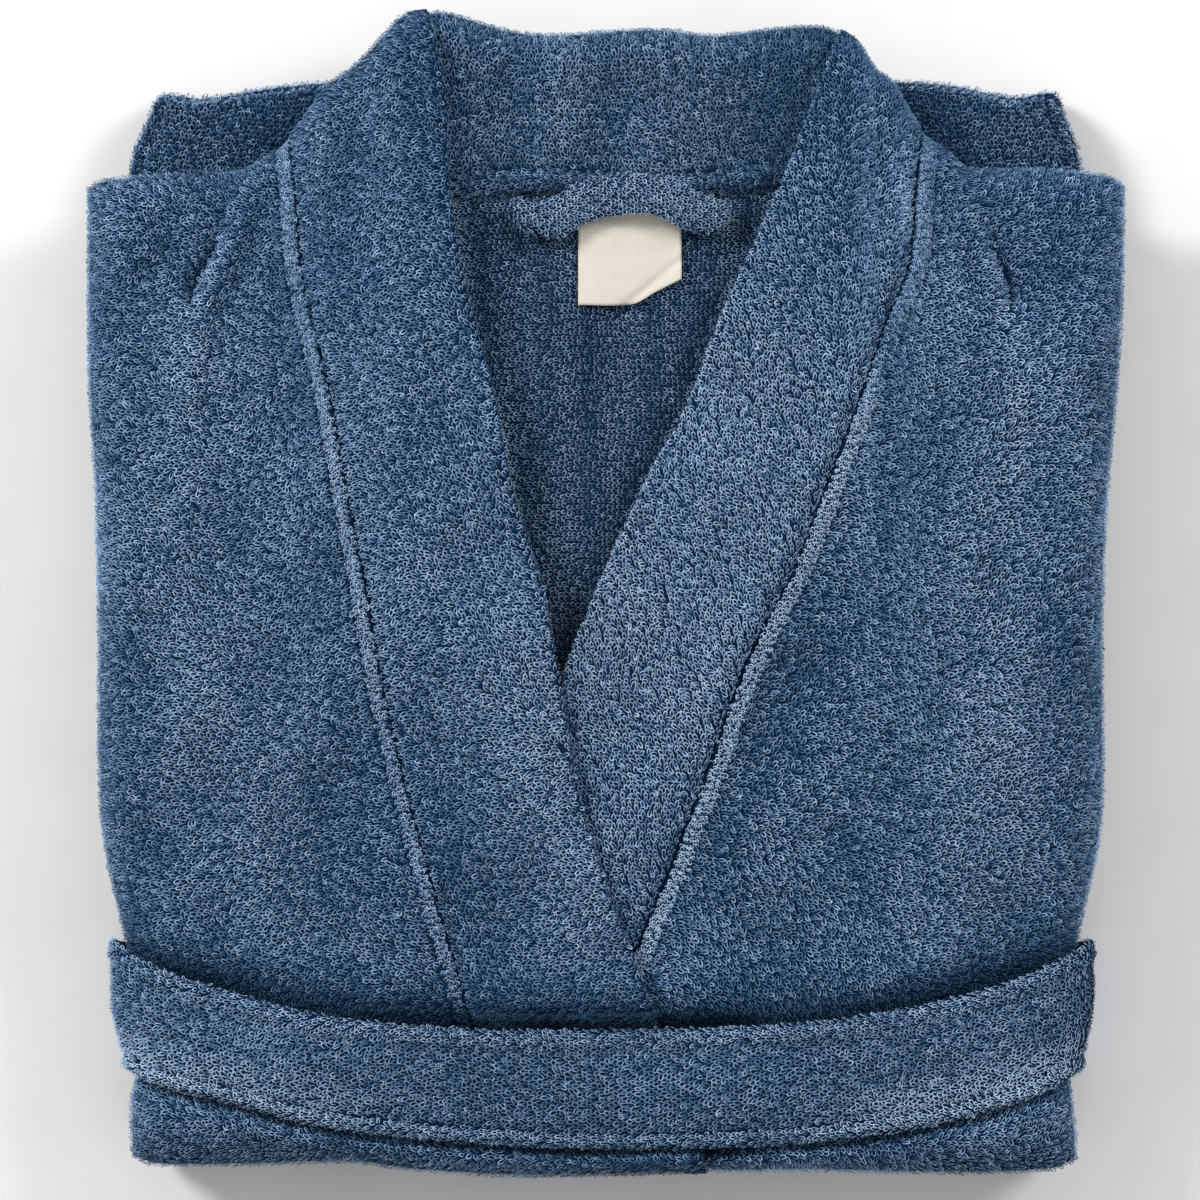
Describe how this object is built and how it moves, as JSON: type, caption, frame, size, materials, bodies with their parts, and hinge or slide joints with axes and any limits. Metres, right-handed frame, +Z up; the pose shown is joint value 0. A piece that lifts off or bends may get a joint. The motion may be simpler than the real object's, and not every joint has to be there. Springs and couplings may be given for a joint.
{
  "type": "folded kimono bathrobe",
  "caption": "Terry bathrobe with a kimono collar, folded to a flat packet: crossed fronts, open V at the neck with hanging loop and label, and its belt wrapped round.",
  "frame": {"origin": "centre of the packet's footprint, on the surface it lies on", "axes": "+X across the packet, +Y along it towards the collar, +Z up out of the crossed fronts; left (-X) and right (+X) are as seen from above with the collar at the far end"},
  "size_m": [0.3744, 0.421, 0.0692],
  "materials": {
    "terry": "looped cotton terry, slate blue",
    "terry_hidden": "looped cotton terry, slate blue",
    "terry_inner": "looped cotton terry in neat rows, slate blue",
    "terry_collar": "looped cotton terry, folded double, slate blue",
    "terry_belt": "looped cotton terry, folded double and topstitched, slate blue",
    "label_tape": "bare cream woven tape"
  },
  "bodies": {
    "root": {"folded_layers": "terry_hidden", "front_left": "terry", "front_right": "terry", "back": "terry_inner", "collar_left": "terry_collar", "collar_right": "terry_collar", "collar_back": "terry_collar", "hanging_loop": "terry_collar", "label": "label_tape", "belt": "terry_belt"}
  },
  "joints": []
}
